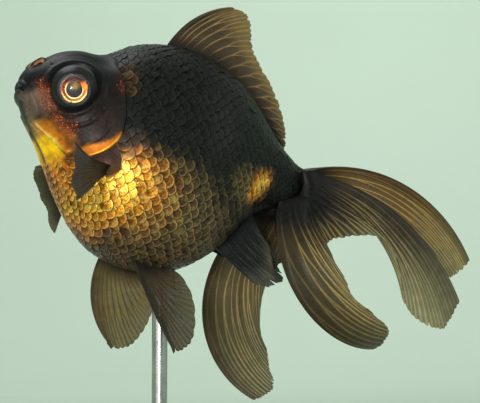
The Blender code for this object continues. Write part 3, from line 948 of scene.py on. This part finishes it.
def scale_tree():
    """Stands a plate on every root, then lays it to the body's own curve at its lift."""
    t, asked = Nodes(bpy.data.node_groups.new("lay_scales", "GeometryNodeTree")), {}
    face = t.tree.interface
    face.new_socket("Geometry", in_out="OUTPUT", socket_type="NodeSocketGeometry")
    for name, kind in (("Geometry", "Geometry"), ("Plate", "Object"), ("Body Form", "Object"),
                       ("Lift", "Float"), ("Bake Patch", "Float"), ("Finish", "Material")):
        asked[name] = face.new_socket(name, in_out="INPUT", socket_type="NodeSocket" + kind).identifier
    enter = t.node("NodeGroupInput").outputs

    def named(name, kind="FLOAT_VECTOR"):
        return t.out("GeometryNodeInputNamedAttribute", data_type=kind, Name=name)

    plate, form = (t.node("GeometryNodeObjectInfo", Object=enter[name]).outputs["Geometry"]
                   for name in ("Plate", "Body Form"))
    turn = t.out("FunctionNodeAxesToRotation", primary_axis="Z", secondary_axis="X",
                 Primary_Axis=named("outward"), Secondary_Axis=named("lie"))
    stood = t.out("GeometryNodeInstanceOnPoints", enter["Geometry"], Instance=plate, Rotation=turn,
                  Scale=named("size"))
    solid = t.out("GeometryNodeRealizeInstances", stood)
    where, outward = t.out("GeometryNodeInputPosition"), t.out("GeometryNodeInputNormal")
    nearest, outward = (t.out("GeometryNodeSampleNearestSurface", form, data_type="FLOAT_VECTOR",
                              Value=value, Sample_Position=where) for value in (where, outward))
    roll = t.maths("MULTIPLY", t.split(named("plate"))[0], named("roll", "FLOAT"))
    rise = t.maths("MULTIPLY_ADD", named("rise", "FLOAT"), named("stand", "FLOAT"), roll)
    raised = t.vector("SCALE", outward, Scale=t.maths("MULTIPLY", rise, enter["Lift"]))
    laid = t.out("GeometryNodeSetPosition", solid, Position=t.vector("ADD", nearest, raised))
    corner = t.vector("SCALE", named("plate"), Scale=enter["Bake Patch"])
    bake = t.vector("ADD", named("root_map"), t.vector("MULTIPLY", corner, (0.5, 0.5, 0)))
    stored = t.out("GeometryNodeStoreNamedAttribute", laid, data_type="FLOAT2", domain="CORNER",
                   Name="OFBake", Value=bake)
    t.node("NodeGroupOutput", t.out("GeometryNodeSetMaterial", stored, Material=enter["Finish"]))
    return t.tree, asked


def unwrapped(places):
    """Each root on a flat unwrap of one side of the body: along by around, near true shape."""
    along, around = through(BODY, places[:, 0])[:, 0], places[:, 3]
    span = max(np.ptp(along), np.ptp(around)) * 1.06
    return np.stack([along - along.min(), around - around.min(), 0 * along], 1) / span + (0.02, 0.02, 0)


def set_scales(name, places, side, rng, tree, settings):
    """Lay one set of scales and turn it into a plain mesh."""
    station, down, height, _, row = places.T

    def draw():
        return rng.standard_normal(len(row))

    angle = np.pi / 2 - side * down
    at, outward = body_surface(station, angle), body_normal(station, angle)
    lie = unit(body_surface(station + 0.02, angle) - body_surface(station - 0.02, angle))
    level = unit(np.array((1, 0, 0)) - outward[:, :1] * outward)
    lie = unit(0.45 * lie + 0.55 * level)
    lie = unit(lie + LIE_CHANCE * draw()[:, None] * np.cross(outward, lie))
    at = at + PLACE_CHANCE * draw()[:, None] * lie
    points = build_mesh("roots", to_frame(at))
    colour, shine = markings(at + lie * height[:, None] * 0.35)
    colour = blend(colour, COPPER, np.clip(rng.normal(0, 0.16, len(at)), 0, 0.4) * shine)
    glow = 1 + (0.16 + 0.32 * shine) * draw()
    give(points, pigment=np.clip(colour * glow[:, None], 0.002, 1),
         shine=np.clip(shine * (1 + 0.25 * draw()), 0, 1), pored=row == 0)
    spare = {"outward": outward @ TIPPED, "lie": lie @ TIPPED,
             "size": np.outer(height, (SCALE_LENGTH, SCALE_SPREAD, 1)) * MM,
             "stand": (height / FULL_SCALE) ** 0.5 * (1 + STAND_CHANCE * draw()),
             "roll": ROLL_CHANCE * draw(), "root_map": unwrapped(places)}
    give(points, **spare)
    holder = new_object(name + "_roots", points)
    nodes = holder.modifiers.new("scales", "NODES")
    nodes.node_group = tree[0]
    for key, value in settings.items():
        nodes[tree[1][key]] = value
    depsgraph = bpy.context.evaluated_depsgraph_get()
    mesh = bpy.data.meshes.new_from_object(holder.evaluated_get(depsgraph),
                                           preserve_all_data_layers=True, depsgraph=depsgraph)
    holder.modifiers.remove(nodes)
    bpy.data.objects.remove(holder)
    for key in (*spare, "rise"):
        if key in mesh.attributes:
            mesh.attributes.remove(mesh.attributes[key])
    mesh.shade_smooth()
    soften_scales(mesh)
    return add_piece(name, mesh, settings["Finish"])


def soften_scales(mesh):
    """Let the markings run on across each scale, half and half with its own colour."""
    colour, shine = markings(from_frame(read(mesh, "position", 3)))
    pigment, own_shine = read(mesh, "pigment", 4), read(mesh, "shine", 1)[:, 0]
    pigment[:, :3] = 0.5 * (pigment[:, :3] + colour)
    mesh.attributes["pigment"].data.foreach_set("color", pigment.ravel())
    mesh.attributes["shine"].data.foreach_set("value", (0.5 * (own_shine + shine)).astype(np.float32))


def make_scales(finish):
    rng = np.random.default_rng(20)
    settings = {"Plate": make_plate(), "Body Form": body_form(), "Lift": SCALE_LIFT * MM,
                "Bake Patch": BAKE_PATCH, "Finish": finish}
    tree, pieces = scale_tree(), []
    for side, label in SIDES:
        places = scale_places(rng, side < 0)
        stem = places[:, 0] > STEM_STATION
        for slot, chosen in (("scales", ~stem), ("tail_stem_scales", stem)):
            name = slot + "_" + label
            pieces.append((set_scales(name, places[chosen], side, rng, tree, settings), slot))
    for helper in (settings["Plate"], settings["Body Form"]):
        bpy.data.objects.remove(helper)
    return pieces


# ---- eyes
EYE_AROUND = 64
BALL_RIM = 0.14               # raised rim of the eyeball, at 7.1 mm from the axis
IRIS = ((4.85, 6.05), (4.6, 6.05), (4.2, 6.12), (3.6, 6), (3.1, 5.88), (2.85, 5.86), (2.7, 5.95),
        (2.62, 5.86))
WINDOW_OUTER = 7.53           # radii of the clear window, and its centre along the eye's axis
WINDOW_INNER = 7.38
WINDOW_AT = 0.60


def arc(radius, start, end, count, at=0):
    """Part of a ball's outline from one angle to another, as (distance from axis, height)."""
    return [(radius * math.sin(a), at + radius * math.cos(a))
            for a in np.radians(np.linspace(start, end, count))]


def eye_profile():
    """Eyeball from back to lens, as (distance from the axis, height along it)."""
    rim = [(r + BALL_RIM * bell(r - 7.1, 0.22) * r / EYE_RADIUS,
            h + BALL_RIM * bell(r - 7.1, 0.22) * max(h, 0) / EYE_RADIUS)
           for r, h in arc(EYE_RADIUS, 150, 39, 30)]
    lens = [(2.75 * math.sin(a), 5.25 + 1.15 * math.cos(a)) for a in np.radians((64, 52, 38, 24, 10))]
    return [*rim, *IRIS, *lens]


def revolve(name, profile, side, shut=True):
    """Turn a profile about an eye's axis; a profile that is not shut joins its own start."""
    centre, looks, back, up = eye_axes(side)
    turn, count = circle(EYE_AROUND), len(profile)
    spokes = np.cos(turn)[:, None] * back + np.sin(turn)[:, None] * up
    points = np.concatenate([centre + h * looks + r * spokes for r, h in profile])
    if not shut:
        faces = np.array(ring_faces(count + 1, EYE_AROUND)) % len(points)
        return fix_normals(build_mesh(name, to_frame(points), faces.tolist()))
    points = np.concatenate([points, [centre + profile[k][1] * looks for k in (0, -1)]])
    mesh = fix_normals(build_mesh(name, to_frame(points), closed_rings(count, EYE_AROUND)))
    dial = np.stack([np.cos(turn - TIP), np.sin(turn - TIP), 0 * turn], 1)
    give(mesh, dial=np.concatenate([r * dial for r, _ in profile] + [np.zeros((2, 3))]))
    return mesh


def make_eyes(iris, window):
    pieces = []
    glass = arc(WINDOW_OUTER, 41, 1, 14, WINDOW_AT) + arc(WINDOW_INNER, 1, 41, 14, WINDOW_AT)
    for side, label in SIDES:
        for name, profile, finish, node in (("eye_ball_", eye_profile(), iris, "eye_" + label),
                                            ("eye_window_", glass, window, None)):
            mesh = revolve(name + label, profile, side, shut=bool(node))
            pieces.append((add_piece(name + label, mesh, finish), node))
    return pieces


# ---- fins
ROOT_THICK = 0.9
WEB_THICK = 0.26
RAY_THICK = 0.46
RAY_WIDTH = 0.17              # half width of a ray, in mm
JOINT_STEP = 0.7              # spacing of the joints of a ray
FLESH_AT = 2.5                # where the fleshy root of a tail lobe is thickest, out along its rays
FLESH_REACH = 4.8
FLESH_THICK = 5.4
SPINE_WIDTH = 0.03            # reach of the stout first ray, as a share of the fin's span
RAY_STEPS = 60                # steps in which a curved ray is drawn out

# Fin colours: root, middle, tip, ray, leading edge
FIN_COLOURS = {
    "dorsal": ((38, 33, 30), (80, 62, 42), (140, 117, 70), (160, 130, 84), (40, 36, 32)),
    "dark": ((30, 27, 27), (48, 42, 40), (70, 62, 56), (84, 76, 70), (36, 30, 30)),
    "dark_tan": ((26, 24, 24), (34, 31, 27), (104, 100, 74), (48, 43, 36), (20, 19, 17)),
    "anal": ((24, 25, 26), (32, 34, 34), (96, 94, 82), (60, 58, 52), (26, 26, 27)),
    "pelvic": ((52, 44, 34), (116, 102, 62), (116, 108, 74), (32, 24, 17), (64, 51, 39)),
    "pelvic_dim": ((34, 30, 28), (70, 60, 40), (84, 78, 56), (18, 15, 13), (28, 23, 23)),
    "tail_gold": ((22, 19, 18), (122, 90, 48), (138, 132, 96), (196, 160, 92), (50, 38, 34)),
    "tail_green": ((19, 18, 17), (74, 62, 44), (142, 140, 106), (168, 152, 100), (31, 26, 24)),
    "tail_dark": ((19, 18, 17), (96, 80, 50), (106, 96, 64), (198, 172, 108), (26, 22, 21)),
    "tail_brown": ((26, 22, 20), (130, 108, 66), (108, 108, 84), (196, 178, 126), (74, 56, 48)),
}


def fin_rays(table, rows, side, reach):
    """Points of a fin's middle surface, each column drawn out to its own reach."""
    mid_step = (np.arange(RAY_STEPS) + 0.5) / RAY_STEPS
    heading, splay = (np.radians(table[:, k, None] + (table[:, k + 1] - table[:, k])[:, None] * mid_step)
                      for k in (3, 5))
    step = np.stack([np.cos(heading) * np.cos(splay), np.sin(splay), np.sin(heading) * np.cos(splay)], -1)
    step *= (table[:, 7] / RAY_STEPS)[:, None, None]
    dense = np.concatenate([0 * step[:, :1], np.cumsum(step, 1)], 1) + table[:, None, :3]
    share = np.linspace(0, 1, rows) * reach[:, None] * RAY_STEPS
    low = np.clip(share.astype(int), 0, RAY_STEPS - 1)
    part = (share - low)[..., None]
    column = np.arange(len(table))[:, None]
    points = dense[column, low] * (1 - part) + dense[column, low + 1] * part
    return points * (1, side, 1)


def ray_crests(columns, share, far, count, forks, spacing, gather, wide):
    """1 on a ray's crest and 0 on the web; rays fork in two at each fork and may gather at the root."""
    within = (columns[:, None] / (gather + (1 - gather) * far ** 0.8) * count) % 1 - 0.5
    gap = 0.25
    for fork in forks:
        within = np.abs(within) - gap * ease(fork, fork + 0.30, share)
        gap /= 2
    return bell(within, np.clip(wide / np.maximum(spacing, 0.1), 0.04, 0.24))


def frayed_reach(columns, count, forks, length, rng, fray, ragged):
    """How far each column of a fin reaches: webs fall short of the ray tips, with a few splits."""
    twigs = count * 2 ** len(forks)
    between = np.abs((columns * twigs) % 1 - 0.5) * 2
    knots = rng.uniform(-1, 1, twigs + 2)
    short = ragged * (0.55 * between ** 2 + 0.35 * np.interp(columns * twigs, np.arange(twigs + 2), knots))
    short = short + sum(depth * bell(columns - at, width) for at, depth, width in fray)
    return 1 - np.clip(short + 0.3, 0, 8) / length


def make_fin(name, rays, side, colours, material, count, forks, span=(0, 1), cells=(170, 56),
             fray=(), seed=1, lead="start", clear=0.86, band=0.07, base=10, pleats=0.22,
             furrow=0.34, gather=1, ragged=1, wide=RAY_WIDTH, flesh=0):
    """One fin: rays that fork, pleats across them, frayed tips, and a stout leading edge."""
    local = np.linspace(0, 1, cells[0])
    table = through(rays, (span[0] + (span[1] - span[0]) * local) * (len(rays) - 1))
    length = table[:, 7]
    reach = frayed_reach(local, count, forks, length, np.random.default_rng(seed), fray, ragged)
    middle = fin_rays(table, cells[1], side, reach)
    share = np.linspace(0, 1, cells[1])[None, :] + 0 * local[:, None]
    spacing = length_of(np.gradient(middle, axis=0)) * (cells[0] - 1) / count
    out = share * (length * reach)[:, None]
    crest = ray_crests(local, share, out / length.max(), count, forks, spacing, gather, wide)
    pleat = -pleats * ease(0.05, 0.6, share) * np.cos(2 * np.pi * local * count)[:, None]
    pleat += 0.5 * share ** 2 * np.sin(5 * np.pi * local[:, None] + 3 * share)
    middle = middle + sheet_normal(middle) * pleat[..., None]
    web = ROOT_THICK + (WEB_THICK - ROOT_THICK) * ease(0, 0.35, share)
    web *= 1 - 0.45 * ease(0.85, 1, share)
    ridge = crest * (1 - 0.5 * share) * (ease(0, 9, out) if flesh else 1)
    from_lead = (local if lead == "start" else 1 - local)[:, None]
    thick = web + (RAY_THICK - WEB_THICK) * ridge + 0.5 * bell(from_lead, SPINE_WIDTH) * (1 - share) ** 0.7
    thick = thick + flesh * bell(out - FLESH_AT, FLESH_REACH)
    mesh = build_sheet(name, middle, thick)
    dark = bell(from_lead, band) * (1 - 0.35 * share)
    pigment, film = fin_pigment(share, out, crest, FIN_COLOURS[colours], dark, clear, base, furrow)
    give(mesh, pigment=both_faces(pigment), film=both_faces(film),
         fan=both_faces(np.stack([local[:, None] * count + 0 * share, out, crest], -1)))
    return add_piece(name, mesh, material)


def fin_pigment(share, out, crest, colours, dark, clear, base, furrow):
    """Colour and film of a fin: dark base and leading band, pale rays, and the web between them darkened as
    painted shade.
    """
    root, middle, tip, ray, front = (paint(*colour) for colour in colours)
    past_base = ease(0.25 * base, base, out)
    colour = blend(root, middle, past_base)
    colour = blend(colour, tip, ease(0.55, 1, share) * ease(0.6 * base, 1.6 * base, out))
    # painted shade: the web between the rays darkened, as in the furrows of the pleats
    colour = colour * (1 - furrow * ease(0.05, 0.4, share) * (1 - crest))[..., None]
    colour = blend(colour, ray, crest * (0.9 - 0.25 * share) * past_base * (1 - 0.8 * dark))
    colour = blend(colour, front, 0.9 * dark * past_base)
    return colour, 1 - (1 - clear) * past_base * (1 - 0.7 * crest) * (1 - dark)


def make_fins(brown, dark):
    frays = ((0.2, 2, 0.012), (0.45, 3.2, 0.014), (0.7, 2.4, 0.012))
    splits = ((0.36, 1.4, 0.004), (0.68, 1.8, 0.005))
    notches = ((0.35, 1, 0.004), (0.62, 1.4, 0.004), (0.83, 1, 0.004))
    pieces = []

    def add(name, rays, side, colours, look, count, forks, **more):
        fin = make_fin("looks_" + name, rays, side, colours, look[0], count, forks, **more)
        pieces.append((fin, name, look[1]))

    add("dorsal_fin", DORSAL, 1, "dorsal", brown, 18, (0.5,), cells=(240, 44),
        fray=notches, seed=3, base=9)
    for (side, label), rays, tint, band, clear in zip(
            SIDES, (PECTORAL_LEFT, PECTORAL_RIGHT), ("dark", "dark_tan"), (0.07, 0.8), (0.85, 0.95)):
        add("pectoral_fin_" + label, rays, side, tint, dark, 12, (0.45,),
            cells=(150, 48), seed=5, clear=clear, pleats=0.08, ragged=0.4, furrow=0.2, band=band)
    for (side, label), rays, tint in zip(SIDES, (PELVIC_LEFT, PELVIC_RIGHT), ("pelvic_dim", "pelvic")):
        add("pelvic_fin_" + label, rays, side, tint, brown, 7, (0.45,), cells=(190, 54), seed=7,
            fray=splits[:1], clear=0.8, band=0.28, furrow=0, gather=0.42, pleats=0.05, wide=0.26)
    for (side, label), rays in zip(SIDES, (ANAL_LEFT, ANAL_RIGHT)):
        add("anal_fin_" + label, rays, side, "anal", dark, 7, (0.35, 0.65), cells=(140, 44),
            fray=frays, seed=9, clear=0.78, pleats=0.12)
    for (side, label), rays, tints, band in zip(
            SIDES, (TAIL_LEFT, TAIL_RIGHT), (("tail_green", "tail_dark"), ("tail_gold", "tail_brown")),
            (0.2, 0.09)):
        for lobe, span, tint, lead in (("upper", (0, FORK), tints[0], "start"),
                                       ("lower", (FORK, 1), tints[1], "end")):
            add("tail_fin_" + lobe + "_" + label, rays, side, tint, brown, 7, (0.22, 0.5),
                span=span, cells=(250, 84), fray=splits, seed=11, lead=lead,
                clear=0.84, band=band, base=28, wide=0.24 if tint == "tail_dark" else RAY_WIDTH,
                flesh=FLESH_THICK)
    return pieces


# ---- nostril flaps
FLAP_WIDTH = 2.1              # half width and height of a nostril's flap, in mm
FLAP_HEIGHT = 2.7
FLAP_TAN = paint(176, 122, 84)
FLAP_RIM = paint(38, 36, 38)


def make_nostril_flaps(material):
    """A small cupped leaf of skin between the two openings of each nostril."""
    u, v = np.meshgrid(np.linspace(-1, 1, 22), np.linspace(0, 1, 14), indexing="ij")
    wide = FLAP_WIDTH * np.sqrt(np.clip(1 - (v * 0.98) ** 2.2, 0, 1))
    leaf = np.stack([u * wide + 0.5 * v, 0.9 * u ** 2 - 0.45 + 0.5 * v,
                     -1.1 + FLAP_HEIGHT * v + 0.45 * u * wide - 0.35 * u ** 2], -1) + NOSTRIL_AT
    rim = np.maximum(ease(0.62, 0.9, np.abs(u)), ease(0.72, 0.95, v))
    pieces = []
    for side, label in SIDES:
        mesh = build_sheet("nostril", leaf * (1, side, 1), 0.34 - 0.16 * v)
        give(mesh, pigment=both_faces(blend(FLAP_TAN, FLAP_RIM, rim)), shine=both_faces(0 * rim),
             specks=both_faces(0 * rim))
        name = "nostril_flap_" + label
        pieces.append((add_piece("looks_" + name, mesh, material), name))
    return pieces


# ---- stage
FLOOR_COLOUR = paint(214, 228, 215)
FLOOR_REACH = 1.9             # metres to the foot of the backdrop
FLOOR_CURVE = 0.9


def make_floor(material):
    """A round floor that curves up into its own backdrop, far outside the object."""
    around = 96
    profile = [(0.4, 0), (1.2, 0), (FLOOR_REACH, 0)]
    profile += [(FLOOR_REACH + FLOOR_CURVE * math.sin(a), FLOOR_CURVE * (1 - math.cos(a)))
                for a in np.radians((15, 30, 45, 60, 75, 90))]
    profile += [(2.8, 1.6)]
    points = [(r * math.cos(t), r * math.sin(t), z) for r, z in profile for t in circle(around)]
    faces = [face[::-1] for face in ring_faces(len(profile), around)]
    faces += fan_faces(len(points), 0, around, False)
    floor = add_piece("floor", build_mesh("floor", points + [(0, 0, 0)], faces), material)


def aim(at, target):
    return (Vector(target) - Vector(at)).to_track_quat("-Z", "Y").to_euler()


def make_lights():
    middle = (0, 0, 0.09)
    for name, at, target, size, watts, colour, spread in (
            ("key", (-0.66, -0.93, 0.20), middle, 0.26, 0.97, (1, 0.96, 0.90), 60),
            ("right_fill", (1.1, -0.9, 0.8), middle, 0.9, 4, (0.95, 0.98, 1), 180),
            ("top", (-0.3, 0.8, 1.8), middle, 1.2, 11, (1, 1, 1), 180),
            ("back", (0.85, 1.5, 1.45), (1.1, 2.75, 1), 1, 7.4, (0.98, 1, 0.98), 180)):
        lamp = bpy.data.lights.new(name, "AREA")
        lamp.shape, lamp.size = "DISK", size
        lamp.energy, lamp.color, lamp.spread = watts, colour, math.radians(spread)
        holder = new_object(name, lamp)
        holder.location, holder.rotation_euler = at, aim(at, target)
    world = bpy.data.worlds.new("studio")
    world.use_nodes = True
    sky = Nodes(world.node_tree)
    sky.feed(sky.tree.nodes["Background"], Color=(0.84, 0.93, 0.86), Strength=0.525)
    bpy.context.scene.world = world


# ---- camera
CAMERA_AZIMUTH = math.radians(-22)
CAMERA_ELEVATION = math.radians(-5)
CAMERA_DISTANCE = 0.600
CAMERA_TARGET = (0.0279, 0, 0.0951)
VIEW_WIDTH = 0.1584           # width of the view at the fish


def make_camera():
    back = np.array((math.sin(CAMERA_AZIMUTH) * math.cos(CAMERA_ELEVATION),
                     -math.cos(CAMERA_AZIMUTH) * math.cos(CAMERA_ELEVATION), math.sin(CAMERA_ELEVATION)))
    lens = bpy.data.cameras.new("camera")
    lens.lens_unit = "FOV"
    lens.sensor_fit = "HORIZONTAL"
    lens.angle = 2 * math.atan(VIEW_WIDTH / 2 / CAMERA_DISTANCE)
    lens.clip_start = 0.01
    camera = new_object("camera", lens)
    camera.location = CAMERA_TARGET + back * CAMERA_DISTANCE
    camera.rotation_euler = aim(camera.location, CAMERA_TARGET)
    bpy.context.scene.camera = camera


# ---- putting it together
def dress(piece, slot, *nodes):
    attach(piece, "root")
    if nodes:
        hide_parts(*nodes)


def main():
    bpy.context.scene.view_settings.view_transform = "Standard"
    skin, wood, steel = skin_finish(), wood_finish(), steel_finish()
    dress(make_skin(skin), "head_skin", "head", "trunk", "tail_stem", "gill_cover_left",
          "gill_cover_right")
    for piece, slot in make_scales(scale_finish()):
        dress(piece, slot)
    for piece, node in make_eyes(eye_finish(), cornea_finish()):
        dress(piece, "eye", *([node] if node else []))
    for piece, node, slot in make_fins((fin_finish("brown_fin"), "fin_brown"),
                                       (fin_finish("dark_fin"), "fin_dark")):
        dress(piece, slot, node)
    for piece, node in make_nostril_flaps(skin):
        dress(piece, "head_skin", node)
    for node, finish in (("stand_base", wood), ("stand_rod", steel), ("stand_collar", steel),
                         ("stand_cradle", steel)):
        wear(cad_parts[node].data, finish)
    make_floor(floor_finish())
    make_lights()
    make_camera()


main()
